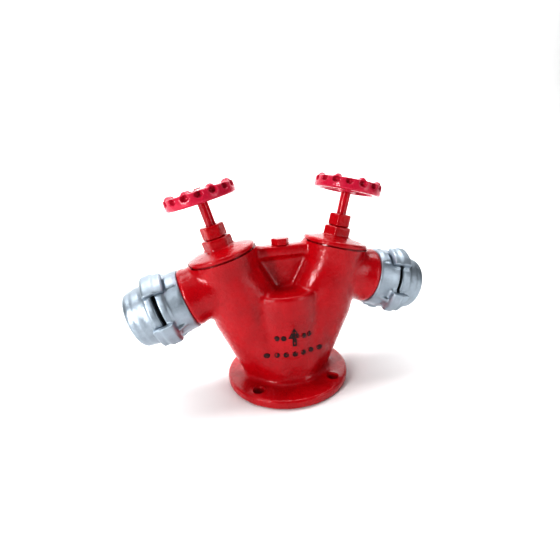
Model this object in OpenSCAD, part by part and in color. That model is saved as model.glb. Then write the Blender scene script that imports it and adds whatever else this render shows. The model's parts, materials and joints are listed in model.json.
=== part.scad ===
// Twin-outlet hydrant head: one flanged inlet, two inclined screw-down
// valves and two claw-coupling outlets closed by twist-off caps.
// Millimetres, +Z up, origin at the centre of the flange underside.
// The front faces -Y.

/* [Inlet flange] */
// Outside diameter of the flange
flange_d = 216; // [200:1:260]
// Thickness of the flange
flange_t = 16; // [12:0.5:24]
// Distance from the flange's edge to the bolt circle
bolt_edge = 18; // [16:0.5:24]
// Diameter of each bolt hole
bolt_hole_d = 18; // [12:0.5:22]
// Number of bolt holes
bolt_count = 4; // [4:4:8]
// Bore of the inlet
inlet_d = 100; // [80:1:106]

/* [Riser] */
// Wall of the central riser round the inlet bore
riser_wall = 12; // [8:0.5:18]
// Height of the riser's flat top
riser_h = 167; // [150:1:176]
// Fillet between the riser and the flange
neck_fillet = 8; // [4:0.5:12]
// Thickness of the riser's roof
roof_t = 12; // [8:0.5:20]

/* [Valve barrels] */
// Sideways distance of the bonnet centre from the middle
barrel_x = 97; // [94:0.5:110]
// Height of the bonnet centre
barrel_z = 238; // [225:1:260]
// Outward lean of each barrel from the vertical
barrel_tilt = 14.2; // [10:0.2:18]
// Wall of the barrel round the valve chamber
barrel_wall = 8; // [6:0.5:12]
// Wall of the barrel's foot round the water passage
foot_wall = 3; // [3:0.5:7]
// How far the barrel's top collar stands out
collar_lip = 2; // [1:0.5:5]

/* [Outlets] */
// Depth below the bonnet where the outlet axis crosses the barrel axis
outlet_drop = 49.7; // [46:0.1:54]
// Droop of the outlet axis below the horizontal
outlet_droop = 17.5; // [14:0.5:22]
// Bore of the outlet
outlet_bore_d = 60; // [50:1:62]
// Outside diameter of the outlet thread
outlet_thread_d = 87.8; // [84:0.2:90]
// Length of the painted stub outside the barrel
stub_reach = 23; // [19:1:33]

/* [Valves] */
// Bore of the valve seat
seat_bore_d = 62; // [50:1:64]
// Lift of the valve disc
valve_lift = 20; // [12:1:20]
// Diameter of the plain part of the stem
stem_d = 16; // [12:0.5:18]
// Height of the stem's thread over its plain part
thread_rise = 2; // [1:0.25:3]
// How far the bonnet's rim stands out over the barrel's collar
bonnet_lip = 1.2; // [0.2:0.2:4]
// Room round the valve disc in its chamber
valve_room = 3.5; // [2:0.5:8]
// Wall of the gland nut round the bonnet's neck
gland_wall = 3; // [2.5:0.5:6]
// Wall of the bonnet's hexagon round the gland nut's flats
hex_wall = 4; // [2:0.5:8]

/* [Handwheels] */
// Outside diameter of the handwheel
wheel_d = 109; // [100:1:130]
// Height of the handwheel's rim above the bonnet
wheel_z = 80; // [76:1:96]
// Thickness of the rim
rim_t = 12.5; // [8:0.5:14]
// Radial width of the rim
rim_w = 12.5; // [11:0.5:15]
// Number of grip knobs
knob_count = 8; // [6:1:12]
// Height of the knobs above the rim
knob_h = 9.5; // [8:0.5:14]
// Number of spokes
spoke_count = 4; // [3:1:5]

/* [Hose couplings] */
// Wall of the coupling body round the outlet thread
coupling_wall = 5.6; // [4.6:0.2:8]
// How far the locking ring stands out
lock_ring_lip = 2.5; // [2:0.5:4]
// How far the claws stand out over the locking ring
claw_h = 11; // [6.5:0.5:13]
// Angle that one claw covers
claw_arc = 40; // [30:1:42]
// Gap between the coupling and the cap
cap_gap = 5; // [4:0.5:9]
// Length of the blank cap
cap_l = 46.5; // [40:0.5:60]
// Turn of the left coupling about its own axis
left_clock = 61; // [0:1:90]
// Turn of the right coupling about its own axis
right_clock = 122; // [90:1:180]
// Turn that frees the cap's claws
cap_unlock = 45; // [43:1:47]

/* [Clearances] */
// Radial clearance of the stem in the bonnet and packing
stem_gap = 0.05; // [0.02:0.01:0.1]
// Radial clearance of threads between fixed pieces
thread_gap = 0.1; // [0.05:0.05:0.2]
// Distance of each face seal from the plane where the couplings meet
seal_gap = 0.05; // [0.02:0.01:0.2]
// Clearance between pieces that turn or slide past each other
run_gap = 0.7; // [0.4:0.1:1]

/* [Hidden] */
SIDES = ["left", "right"];
SIDE_PARTS = ["seat_ring", "seal_disc", "disc_holder", "seal_nut", "stem_retainer",
    "stem", "bonnet", "bonnet_gasket", "packing", "gland_bush", "gland_nut",
    "handwheel", "wheel_nut", "thread_seal", "outlet_coupling", "coupling_seal",
    "blank_cap", "cap_seal"];
$fn = 64;

// Sizes across, each built outwards from what it holds
seat_wall = 7;
seat_or = seat_bore_d / 2 + seat_wall;
holder_r = seat_or + 1.5;
chamber_d = 2 * (holder_r + valve_room);
barrel_d = chamber_d + 2 * barrel_wall;
barrel_foot_d = seat_bore_d + 2 * foot_wall;
barrel_thin_d = barrel_foot_d + 9;
collar_d = barrel_d + 2 * collar_lip;
bonnet_d = collar_d + 2 * bonnet_lip;
stem_thread_d = stem_d + 2 * thread_rise;
box_r = stem_d / 2 + 3.5;
neck_r = box_r + 2.5;
gland_hex = 2 * (neck_r + gland_wall);
bonnet_hex = gland_hex + 2 * hex_wall;
coupling_d = outlet_thread_d + 2 * coupling_wall;
lock_ring_d = coupling_d + 2 * lock_ring_lip;
claw_d = lock_ring_d + 2 * claw_h;

// Depths below and heights above the bonnet's top plane, along the stem
gasket_t = 2;
bonnet_rim_t = 7.5;
bonnet_rim_top = 0.5;
bonnet_rim_bottom = bonnet_rim_top - bonnet_rim_t;
mouth_s = bonnet_rim_bottom - gasket_t;
collar_h = 9;
collar_flare = 16;
spigot_l = 11;
spigot_r = chamber_d / 2 + 1.5;
seat_top = -88;
seat_h = 10;
chamber_floor = seat_top - 2;
barrel_full_s = -115;
barrel_thin_s = -198;
barrel_end_s = -228;
passage_end_s = -205;

seal_t = 6;
seal_r = seat_or - 2;
holder_lip = 2;
holder_plate_t = 14;
pocket_r = stem_d / 2 + 4;
holder_hub_r = pocket_r + 5;
holder_hub_h = 14;
stud_r = 6;
stud_l = 17;
plate_top = seat_top + holder_lip + holder_plate_t;
hub_top = plate_top + holder_hub_h;
pocket_floor = plate_top - 6;
foot_h = 4.5;
foot_r = pocket_r - run_gap;
retainer_gap = 0.3;
retainer_top = hub_top + 1;
thread_start = retainer_top + 1;

hex_top = 22.8;
crown_r = bonnet_hex / 2 + 4;
crown_top = 6.5;
neck_top = 36;
box_floor = 18;
packing_t = 12;
relief_top = 14;
nut_engage_top = -8;
nut_engage_bottom = hub_top + valve_lift + 2;
thread_top = nut_engage_top - 4;
gland_nut_bottom = hex_top + 0.7;
gland_nut_top = 43.4;
bush_collar_t = 1.5;
bush_top = neck_top + 2;

hub_bottom = wheel_z - 1;
hub_r = stem_d / 2 + 5;
hub_top_s = hub_bottom + 11.5;
square_w = stem_d - 5;
wheel_nut_hex = square_w + 6;
washer_t = 1.5;
wheel_nut_h = 7;
stud_end_r = square_w / 2 - 0.5;
stem_end = hub_top_s + washer_t + wheel_nut_h + 1.5;

// Distances along the outlet axis, outward from the barrel axis
stub_l = barrel_d / 2 + stub_reach;
outlet_thread_l = 22;
stub_end = stub_l + outlet_thread_l;
thread_seal_t = 2;
seal_face = stub_end + thread_seal_t;
lock_ring_t = 12;
head_end = seal_face + 13.2;
mid_l = head_end + cap_gap / 2;
cap_start = head_end + cap_gap;
cap_end = cap_start + cap_l;
seal_pocket_r = coupling_d / 2 - 5.5;
hose_bore_r = seal_pocket_r - 10;
seal_depth = 9;
claw_root_l = 10.5;
claw_reach = 13;
claw_tip_l = 10.5;
claw_hook_t = 3.9;
claw_hook_r = coupling_d / 2 + 0.8;
lug_l = 15;

OUTLET_X = barrel_x - outlet_drop * sin(barrel_tilt);
OUTLET_Z = barrel_z - outlet_drop * cos(barrel_tilt);

// Place children on a barrel axis: side is -1 for left and 1 for right
module on_barrel(side)
    translate([side * barrel_x, 0, barrel_z])
        rotate([0, side * barrel_tilt, 0])
            children();

// Place children on an outlet axis, +Z pointing out of the outlet
module on_outlet(side)
    translate([side * OUTLET_X, 0, OUTLET_Z])
        rotate([0, side * (90 + outlet_droop), 0])
            children();

// Turn children about the outlet axis to where the coupling is screwed up
module clocked(side)
    rotate([0, 0, side < 0 ? left_clock : right_clock])
        children();

module ring(r_out, r_in, z0, z1)
    rotate_extrude()
        polygon([[r_in, z0], [r_out, z0], [r_out, z1], [r_in, z1]]);

// Hexagonal bar with its top corners chamfered
module hex_bar(flats, z0, z1, chamfer = 1.5) {
    corner = flats / 2 / cos(30);
    intersection() {
        translate([0, 0, z0]) cylinder(r = corner, h = z1 - z0, $fn = 6);
        rotate_extrude()
            polygon([[0, z0 - 1], [corner + 1, z0 - 1], [corner + 1, z1 - chamfer],
                [corner + 1 - 2 * chamfer, z1], [0, z1]]);
    }
}

/* ---- casting ---- */

function arc(cx, cy, r, a0, a1, n) =
    [for (i = [0:n]) [cx + r * cos(a0 + (a1 - a0) * i / n), cy + r * sin(a0 + (a1 - a0) * i / n)]];

bolt_pcd = flange_d - 2 * bolt_edge;
riser_d = inlet_d + 2 * riser_wall;
// Length of the inlet's machined bore, below the water passages
inlet_bore_l = flange_t + 16;

module flange_and_riser() {
    edge = 1.5;
    top_round = 4;
    rr = riser_d / 2;
    rotate_extrude()
        polygon(concat(
            [[0, 0], [flange_d / 2 - edge, 0], [flange_d / 2, edge],
             [flange_d / 2, flange_t - edge], [flange_d / 2 - edge, flange_t]],
            arc(rr + neck_fillet, flange_t + neck_fillet, neck_fillet, 270, 180, 5),
            arc(rr - top_round, riser_h - top_round, top_round, 0, 90, 4),
            [[0, riser_h]]));
}

module barrel_outside() {
    rb = barrel_d / 2;
    rc = collar_d / 2;
    rotate_extrude()
        polygon([[0, barrel_end_s], [barrel_foot_d / 2, barrel_end_s],
            [barrel_thin_d / 2, barrel_thin_s], [rb, barrel_full_s],
            [rb, mouth_s - collar_h - collar_flare], [rc, mouth_s - collar_h],
            [rc, mouth_s - 1.5], [rc - 1.5, mouth_s], [0, mouth_s]]);
}

// Bore and chamber, and the face machined flat under the bonnet's rim
module barrel_inside() {
    mouth_cut_r = bonnet_d / 2 + run_gap;
    rotate_extrude()
        polygon([[0, passage_end_s], [seat_bore_d / 2, passage_end_s],
            [seat_bore_d / 2, seat_top - seat_h], [seat_or, seat_top - seat_h],
            [seat_or, chamber_floor], [chamber_d / 2, chamber_floor],
            [chamber_d / 2, mouth_s - spigot_l + gasket_t], [spigot_r, mouth_s - spigot_l + gasket_t],
            [spigot_r, mouth_s], [mouth_cut_r, mouth_s], [mouth_cut_r, mouth_s + 12],
            [0, mouth_s + 12]]);
}

module stub_outside() {
    rt = outlet_thread_d / 2;
    rs = coupling_d / 2 - 1.2;
    rotate_extrude()
        polygon([[0, 20], [rs - 4, 20], [rs - 4, stub_l - 22], [rs - 0.8, stub_l - 9],
            [rs, stub_l - 6], [rs, stub_l - 1.2], [rs - 1.2, stub_l], [rt, stub_l],
            [rt, stub_end - 1.5], [rt - 1.5, stub_end], [0, stub_end]]);
}

module stub_inside() {
    wide = outlet_thread_d / 2 - 7;
    rotate_extrude()
        polygon([[0, 0], [outlet_bore_d / 2, 0], [outlet_bore_d / 2, stub_l - 18],
            [wide, stub_l - 8], [wide, stub_end + 1], [0, stub_end + 1]]);
}

bar_top = barrel_z + 1.5;
bar_h = 18;
bar_w = 30;
bar_reach = barrel_x - barrel_d / 2 + 6;
web_w = 12;
plug_r = 8;
plug_depth = 13;

// Blends of the casting: the skirt between riser and legs, and the inner
// flare where each barrel runs into the riser
function leg_x(z) = barrel_x - (barrel_z - z) * tan(barrel_tilt);
skirt_top = riser_h - 17;
skirt_r = barrel_d / 2 - 11;
skirt_shoulder_x = leg_x(skirt_top) + 0.3;
skirt_leg_x = leg_x(flange_t) + 1.2;
flare_bottom = riser_h - 7;
flare_x = leg_x(flare_bottom) - 21.3;
flare_r = barrel_d / 2 - 5;

module slice(x, z, r)
    translate([x, 0, z]) cylinder(r = r, h = 1, $fn = 32);

module casting_blends() {
    hull() {
        slice(0, flange_t - 1, riser_d / 2 + 3);
        slice(0, skirt_top, skirt_r);
        for (side = [-1, 1]) {
            slice(side * skirt_leg_x, flange_t - 1, barrel_foot_d / 2 + 1);
            slice(side * skirt_shoulder_x, skirt_top, skirt_r);
        }
    }
    for (side = [-1, 1])
        hull() {
            slice(side * flare_x, flare_bottom, flare_r);
            on_barrel(side) slice(0, mouth_s - collar_h - collar_flare - 3, barrel_d / 2 - 0.7);
        }
}

module tie_bar() {
    edge = 3;
    translate([0, 0, bar_top - bar_h])
        rotate([90, 0, 90])
            translate([0, 0, -bar_reach])
                linear_extrude(2 * bar_reach)
                    polygon([[-bar_w / 2, 0], [bar_w / 2, 0], [bar_w / 2, bar_h - edge],
                        [bar_w / 2 - edge, bar_h], [-bar_w / 2 + edge, bar_h],
                        [-bar_w / 2, bar_h - edge]]);
    // the thin web that closes the crotch under the bar
    translate([-bar_reach + 14, -web_w / 2, riser_h - 10])
        cube([2 * bar_reach - 28, web_w, bar_top - bar_h - riser_h + 12]);
}

// Raised flow arrow and date dots, cast on the front of the riser
module cast_marks() {
    proud = 2;
    arrow_w = 26;
    intersection() {
        ring(riser_d / 2 + proud, riser_d / 2 - 4, 40, 140);
        translate([0, -riser_d / 2 + 20, 0])
            rotate([90, 0, 0])
                linear_extrude(30)
                    union() {
                        translate([0, 82])
                            polygon([[-4, 0], [4, 0], [4, 18], [arrow_w / 2, 18], [0, 36],
                                [-arrow_w / 2, 18], [-4, 18]]);
                        for (i = [-3:3])
                            translate([i * 9, 68]) circle(r = 2.6, $fn = 24);
                    }
    }
}

module body() color([0.78, 0.06, 0.09]) difference() {
    union() {
        flange_and_riser();
        for (side = [-1, 1]) {
            on_barrel(side) barrel_outside();
            on_outlet(side) stub_outside();
        }
        casting_blends();
        tie_bar();
        cast_marks();
    }
    translate([0, 0, -1]) cylinder(r = inlet_d / 2, h = inlet_bore_l + 1);
    translate([0, 0, inlet_bore_l - 1])
        cylinder(r = inlet_d / 2 - 1, h = riser_h - roof_t - inlet_bore_l + 1);
    for (side = [-1, 1]) {
        on_barrel(side) barrel_inside();
        on_outlet(side) stub_inside();
    }
    translate([0, 0, bar_top - plug_depth]) cylinder(r = plug_r, h = plug_depth + 1);
    for (i = [0:bolt_count - 1])
        rotate([0, 0, 360 / bolt_count * (i + 0.5)])
            translate([bolt_pcd / 2, 0, -1])
                cylinder(r = bolt_hole_d / 2, h = flange_t + 2);
}

module bar_plug() color([0.75, 0.06, 0.09]) {
    translate([0, 0, bar_top]) {
        hex_bar(26, 0, 10.5);
        translate([0, 0, 1 - plug_depth])
            cylinder(r = plug_r - thread_gap, h = plug_depth);
    }
}

/* ---- valve, along the stem ---- */

module seat_ring()
    color([0.80, 0.62, 0.28])
        rotate_extrude()
            polygon([[seat_bore_d / 2, seat_top - seat_h], [seat_or - 0.05, seat_top - seat_h],
                [seat_or - 0.05, seat_top], [seat_bore_d / 2 + 1, seat_top],
                [seat_bore_d / 2, seat_top - 1]]);

module seal_disc()
    color([0.08, 0.08, 0.08])
        ring(seal_r, stud_r + 0.2, seat_top, seat_top + seal_t);

module disc_holder()
    color([0.78, 0.60, 0.27])
        rotate_extrude()
            polygon([[0, seat_top - stud_l], [stud_r - 0.8, seat_top - stud_l],
                [stud_r, seat_top - stud_l + 0.8], [stud_r, seat_top + seal_t],
                [seal_r + 0.2, seat_top + seal_t], [seal_r + 0.2, seat_top + holder_lip],
                [holder_r, seat_top + holder_lip], [holder_r, plate_top - 5],
                [holder_hub_r, plate_top], [holder_hub_r, hub_top], [pocket_r, hub_top],
                [pocket_r, pocket_floor], [0, pocket_floor]]);

module seal_nut() color([0.78, 0.60, 0.27]) difference() {
    union() {
        translate([0, 0, seat_top - 2]) cylinder(r = stud_r + 10, h = 2);
        translate([0, 0, seat_top - 12]) cylinder(r = stud_r + 6.7, h = 10.5, $fn = 6);
    }
    translate([0, 0, seat_top - 13]) cylinder(r = stud_r + thread_gap, h = 14);
}

module stem_retainer() color([0.78, 0.60, 0.27])
    ring(pocket_r - 0.05, stem_d / 2 + 0.2, pocket_floor + foot_h + retainer_gap, retainer_top);

module stem() color([0.55, 0.05, 0.07]) {
    rp = stem_d / 2;
    rt = stem_thread_d / 2;
    rotate_extrude()
        polygon([[0, pocket_floor], [foot_r, pocket_floor], [foot_r, pocket_floor + foot_h],
            [rp, pocket_floor + foot_h], [rp, thread_start], [rt, thread_start + 1],
            [rt, thread_top - 1], [rp, thread_top], [rp, hub_bottom], [0, hub_bottom]]);
    translate([-square_w / 2, -square_w / 2, hub_bottom - 1])
        cube([square_w, square_w, hub_top_s - hub_bottom]);
    translate([0, 0, hub_top_s - 2])
        cylinder(r = stud_end_r, h = stem_end - hub_top_s + 2);
}

module bonnet() color([0.78, 0.06, 0.09]) {
    rt = stem_thread_d / 2 + stem_gap;
    rim = bonnet_d / 2;
    under = bonnet_rim_top - 6;
    difference() {
        union() {
            rotate_extrude()
                polygon([[rt - 2, nut_engage_bottom], [rt + 7, nut_engage_bottom],
                    [rt + 9, bonnet_rim_bottom], [rt + 14, under], [spigot_r - 8.5, under],
                    [spigot_r - 7.5, bonnet_rim_bottom - spigot_l + gasket_t],
                    [spigot_r - thread_gap, bonnet_rim_bottom - spigot_l + gasket_t],
                    [spigot_r - thread_gap, bonnet_rim_bottom], [rim, bonnet_rim_bottom],
                    [rim, bonnet_rim_top - 2], [rim - 0.8, bonnet_rim_top - 0.6],
                    [rim - 2.5, bonnet_rim_top], [crown_r, crown_top], [neck_r, crown_top],
                    [neck_r, neck_top],
                    [rt - 2, neck_top]]);
            hex_bar(bonnet_hex, crown_top - 2, hex_top, 2);
        }
        rotate_extrude()
            polygon([[0, nut_engage_bottom - 1], [rt, nut_engage_bottom - 1], [rt, nut_engage_top],
                [rt + 1, nut_engage_top], [rt + 1, relief_top],
                [stem_d / 2 + 0.3, relief_top], [stem_d / 2 + 0.3, box_floor],
                [box_r, box_floor], [box_r, neck_top + 1], [0, neck_top + 1]]);
    }
}

module bonnet_gasket()
    color([0.15, 0.15, 0.15]) ring(collar_d / 2 - 3, spigot_r + 0.1, mouth_s, bonnet_rim_bottom);

module packing()
    color([0.25, 0.24, 0.22])
        ring(box_r - 0.05, stem_d / 2 + stem_gap, box_floor, box_floor + packing_t);

module gland_bush() color([0.80, 0.62, 0.28])
    rotate_extrude()
        polygon([[stem_d / 2 + stem_gap, box_floor + packing_t], [box_r - 0.1, box_floor + packing_t],
            [box_r - 0.1, bush_top - bush_collar_t], [neck_r - 0.8, bush_top - bush_collar_t],
            [neck_r - 0.8, bush_top], [stem_d / 2 + stem_gap, bush_top]]);

module gland_nut() color([0.72, 0.05, 0.08]) difference() {
    hex_bar(gland_hex, gland_nut_bottom, gland_nut_top, 2);
    translate([0, 0, gland_nut_bottom - 1])
        cylinder(r = neck_r + thread_gap, h = bush_top - gland_nut_bottom + 1);
    translate([0, 0, bush_top - 1])
        cylinder(r = stem_d / 2 + 0.4, h = gland_nut_top - bush_top + 2);
}

/* ---- handwheel ---- */

knob_r = rim_w / 2 + 0.9;
rim_mid_r = wheel_d / 2 - rim_w / 2 - 1.2;
left_wheel_turn = 22.5;

// Turn children about the stem to where the handwheel stands
module wheel_turned(side)
    rotate([0, 0, side < 0 ? left_wheel_turn : 0])
        children();

module grip_knob() {
    z0 = wheel_z + rim_t - 3;
    z1 = wheel_z + rim_t + knob_h;
    round_r = knob_r - 0.5;
    rotate_extrude($fn = 24)
        polygon(concat([[0, z0], [knob_r, z0], [knob_r, z0 + 3]],
            arc(0, z1 - round_r, round_r, 0, 75, 3), [[0, z1]]));
}

module handwheel() color([0.80, 0.10, 0.18]) {
    ro = wheel_d / 2;
    ri = ro - rim_w;
    bevel = 2;
    spoke_r = 4.2;
    spoke_z = hub_top_s - spoke_r - 1;
    difference() {
        union() {
            rotate_extrude()
                polygon([[ri + bevel, wheel_z], [ro - bevel, wheel_z], [ro, wheel_z + bevel],
                    [ro, wheel_z + rim_t - bevel], [ro - bevel, wheel_z + rim_t],
                    [ri + bevel, wheel_z + rim_t], [ri, wheel_z + rim_t - bevel],
                    [ri, wheel_z + bevel]]);
            for (i = [0:knob_count - 1])
                rotate([0, 0, 360 / knob_count * i])
                    translate([0, rim_mid_r, 0]) grip_knob();
            for (i = [0:spoke_count - 1])
                rotate([0, 0, 360 / spoke_count * (i + 0.5)])
                    translate([0, 0, spoke_z])
                        rotate([0, 90, 0])
                            cylinder(r = spoke_r, h = ri + rim_w / 2, $fn = 24);
            rotate_extrude()
                polygon([[0, hub_bottom], [hub_r - 2, hub_bottom], [hub_r, hub_bottom + 2],
                    [hub_r, hub_top_s - 3], [hub_r - 2, hub_top_s], [0, hub_top_s]]);
        }
        square_hole = square_w + 0.3;
        translate([-square_hole / 2, -square_hole / 2, hub_bottom - 1])
            cube([square_hole, square_hole, hub_top_s - hub_bottom + 2]);
    }
}

module wheel_nut() color([0.82, 0.83, 0.84]) difference() {
    union() {
        translate([0, 0, hub_top_s]) cylinder(r = 11.5, h = washer_t);
        hex_bar(wheel_nut_hex, hub_top_s + washer_t - 0.5, hub_top_s + washer_t + wheel_nut_h, 1);
    }
    translate([0, 0, hub_top_s - 1])
        cylinder(r = stud_end_r + thread_gap, h = washer_t + wheel_nut_h + 2);
}

/* ---- couplings, measured back from the meeting plane of the two halves ---- */

// Sector of a turned profile, centred on the angle mid
module sector(mid, angle)
    rotate([0, 0, mid - angle / 2])
        rotate_extrude(angle = angle)
            children();

half_gap = cap_gap / 2;
lock_back = half_gap + lock_ring_t;

// One claw: root on its own half, reaching across and hooking the other
module claw(mid) {
    ro = claw_d / 2;
    over = lock_ring_d / 2 + run_gap;
    hook = -(lock_back + 0.5);
    sector(mid, claw_arc)
        polygon([[coupling_d / 2 - 1.5, half_gap + 0.5], [over, half_gap], [over, hook],
            [claw_hook_r, hook], [claw_hook_r, hook - claw_hook_t + 0.8],
            [claw_hook_r + 0.8, hook - claw_hook_t], [ro - 4, hook - claw_hook_t],
            [ro - 3, hook - claw_hook_t + 1], [ro - 3, -half_gap - 6], [ro - 0.5, -half_gap - 4],
            [ro, -half_gap - 2], [ro, half_gap + claw_root_l - 4],
            [ro - 4, half_gap + claw_root_l], [coupling_d / 2 - 1.5, half_gap + claw_root_l]]);
}

// Locking ring of one half, with a window each side for the other's claws
module lock_ring() {
    ro = lock_ring_d / 2;
    window = claw_arc + 3;
    difference() {
        rotate_extrude()
            polygon([[seal_pocket_r, half_gap], [ro - 1, half_gap], [ro, half_gap + 1],
                [ro, lock_back - 1.5], [ro - 1, lock_back], [seal_pocket_r, lock_back]]);
        for (half = [0, 180])
            sector(half + 90 - cap_unlock, window)
                polygon([[coupling_d / 2, half_gap - 1], [ro + 1, half_gap - 1],
                    [ro + 1, lock_back + 1], [coupling_d / 2, lock_back + 1]]);
    }
}

// Everything the two halves share
module half_coupling() {
    lock_ring();
    claw(0);
    claw(180);
}

// Head screwed to the stub
module outlet_coupling_half() {
    rb = coupling_d / 2;
    body_l = mid_l - stub_l;
    union() {
        half_coupling();
        difference() {
            union() {
                rotate_extrude()
                    polygon([[hose_bore_r, half_gap], [rb, half_gap], [rb, body_l - 3],
                        [rb - 0.6, body_l - 1], [rb - 0.6, body_l], [hose_bore_r, body_l]]);
                for (half = [0, 180]) {
                    // spanner lugs
                    sector(half + 90, 30)
                        polygon([[rb - 1, lock_back + 6], [rb + 2, lock_back + 6.5],
                            [rb + 2, lock_back + lug_l + 4], [rb - 1, lock_back + lug_l + 8]]);
                    // gusset behind each claw
                    sector(half, 8)
                        polygon([[rb - 1, half_gap + claw_root_l - 1],
                            [rb + 8, half_gap + claw_root_l - 1], [rb - 1, half_gap + claw_root_l + 18]]);
                }
            }
            rotate_extrude()
                polygon([[hose_bore_r - 1, half_gap - 1], [seal_pocket_r - 0.5, half_gap - 1],
                    [seal_pocket_r - 0.5, half_gap + seal_depth], [hose_bore_r - 1, half_gap + seal_depth]]);
            rotate_extrude()
                polygon([[hose_bore_r - 1, mid_l - seal_face],
                    [outlet_thread_d / 2 + thread_gap, mid_l - seal_face],
                    [outlet_thread_d / 2 + thread_gap, body_l + 1], [hose_bore_r - 1, body_l + 1]]);
        }
    }
}

// Blank cap, mouth towards the meeting plane
module blank_cap_half() {
    rb = coupling_d / 2;
    len = half_gap + cap_l;
    wall = 7;
    union() {
        half_coupling();
        difference() {
            rotate_extrude()
                polygon([[0, half_gap], [rb, half_gap], [rb, lock_back + 4], [rb - 1.2, lock_back + 5],
                    [rb - 1.8, len - 16], [rb - 3, len - 15], [rb - 3.2, len - 8], [rb - 4.5, len - 3.5],
                    [rb - 8, len], [rb - 14, len], [rb - 15.5, len - 1.5], [0, len - 1.5]]);
            rotate_extrude()
                polygon([[0, half_gap - 1], [seal_pocket_r - 0.5, half_gap - 1],
                    [seal_pocket_r - 0.5, half_gap + seal_depth], [hose_bore_r, half_gap + seal_depth],
                    [hose_bore_r, len - wall - 4], [hose_bore_r - 4, len - wall], [0, len - wall]]);
        }
    }
}

module on_meeting_plane(side)
    on_outlet(side) translate([0, 0, mid_l]) clocked(side) children();

module outlet_coupling(side) color([0.72, 0.75, 0.78])
    on_meeting_plane(side) rotate([180, 0, 0]) outlet_coupling_half();

module blank_cap(side) color([0.75, 0.78, 0.80])
    on_meeting_plane(side) rotate([0, 0, 90]) blank_cap_half();

// The two soft rings all but touch at the middle of the gap
module face_seal()
    rotate_extrude()
        polygon([[hose_bore_r + 2, seal_gap], [seal_pocket_r - 2, seal_gap],
            [seal_pocket_r - 0.6, half_gap],
            [seal_pocket_r - 0.6, half_gap + seal_depth], [hose_bore_r, half_gap + seal_depth],
            [hose_bore_r, half_gap + 2]]);

module coupling_seal(side) color([0.05, 0.05, 0.05])
    on_meeting_plane(side) rotate([180, 0, 0]) face_seal();

module cap_seal(side) color([0.05, 0.05, 0.05])
    on_meeting_plane(side) face_seal();

module thread_seal(side) color([0.1, 0.1, 0.1])
    on_outlet(side) ring(outlet_thread_d / 2 - 0.4, outlet_thread_d / 2 - 7, stub_end, seal_face);

/* ---- assembly ---- */

module side_part(name, side) {
    if (name == "seat_ring") on_barrel(side) seat_ring();
    if (name == "seal_disc") on_barrel(side) seal_disc();
    if (name == "disc_holder") on_barrel(side) disc_holder();
    if (name == "seal_nut") on_barrel(side) seal_nut();
    if (name == "stem_retainer") on_barrel(side) stem_retainer();
    if (name == "stem") on_barrel(side) wheel_turned(side) stem();
    if (name == "bonnet") on_barrel(side) bonnet();
    if (name == "bonnet_gasket") on_barrel(side) bonnet_gasket();
    if (name == "packing") on_barrel(side) packing();
    if (name == "gland_bush") on_barrel(side) gland_bush();
    if (name == "gland_nut") on_barrel(side) gland_nut();
    if (name == "handwheel") on_barrel(side) wheel_turned(side) handwheel();
    if (name == "wheel_nut") on_barrel(side) wheel_turned(side) wheel_nut();
    if (name == "thread_seal") thread_seal(side);
    if (name == "outlet_coupling") outlet_coupling(side);
    if (name == "coupling_seal") coupling_seal(side);
    if (name == "blank_cap") blank_cap(side);
    if (name == "cap_seal") cap_seal(side);
}

body();
bar_plug();
for (i = [0, 1])
    for (p = SIDE_PARTS)
        side_part(p, 2 * i - 1);
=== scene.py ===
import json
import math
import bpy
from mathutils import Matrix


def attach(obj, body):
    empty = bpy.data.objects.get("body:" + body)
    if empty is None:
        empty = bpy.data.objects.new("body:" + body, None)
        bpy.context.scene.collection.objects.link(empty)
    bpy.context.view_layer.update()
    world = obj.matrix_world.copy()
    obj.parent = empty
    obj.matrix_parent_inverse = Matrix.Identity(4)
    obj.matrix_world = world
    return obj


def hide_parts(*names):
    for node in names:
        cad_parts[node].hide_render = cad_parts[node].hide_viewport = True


bl_info = {
    "name": "Twin-Outlet Hydrant Head",
    "version": (1, 0, 0),
    "blender": (4, 5, 0),
    "location": "3D View > Sidebar > Hydrant",
    "description": "Builds a flanged hydrant head with two screw-down valves and capped claw couplings",
    "category": "Object",
}

import bpy
import numpy as np
from bpy.props import FloatProperty, FloatVectorProperty, IntProperty, PointerProperty
from mathutils import Matrix, Vector

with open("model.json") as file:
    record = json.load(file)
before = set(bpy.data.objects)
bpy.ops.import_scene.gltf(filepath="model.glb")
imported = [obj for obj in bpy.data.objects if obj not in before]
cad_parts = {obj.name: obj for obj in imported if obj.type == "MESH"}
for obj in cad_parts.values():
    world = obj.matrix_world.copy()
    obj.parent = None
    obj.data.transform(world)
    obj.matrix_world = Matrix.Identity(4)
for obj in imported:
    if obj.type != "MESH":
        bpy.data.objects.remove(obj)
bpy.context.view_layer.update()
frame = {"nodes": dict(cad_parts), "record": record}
RECORD = frame["record"]
SIDES = {"left": -1, "right": 1}
SLOTS = {row["node"]: row["material_slot"] for row in RECORD["subparts"]}
BODY_OF = {node: body for body, nodes in RECORD["behaviour"]["bodies"].items() for node in nodes}

# The axes of the valves and outlets, in the frame's own places
BARREL_X, BARREL_Z, BARREL_TILT = 0.097, 0.238, math.radians(14.2)
OUTLET_DROOP = math.radians(17.5)
OUTLET_DROP = 0.0497
OUTLET_X = BARREL_X - OUTLET_DROP * math.sin(BARREL_TILT)
OUTLET_Z = BARREL_Z - OUTLET_DROP * math.cos(BARREL_TILT)

# Outline of each valve's inside: radii of its stretches and their heights on the stem's axis
SEAT_BORE, SEAT_POCKET, CHAMBER, THREAD, MOUTH = 0.031, 0.038, 0.043, 0.0445, 0.0549
PASSAGE_END, SEAT_FOOT, SEAT_TOP, THREAD_END, MOUTH_FACE = -0.205, -0.098, -0.090, -0.018, -0.009
MOUTH_CLEAR = 0.003

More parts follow.
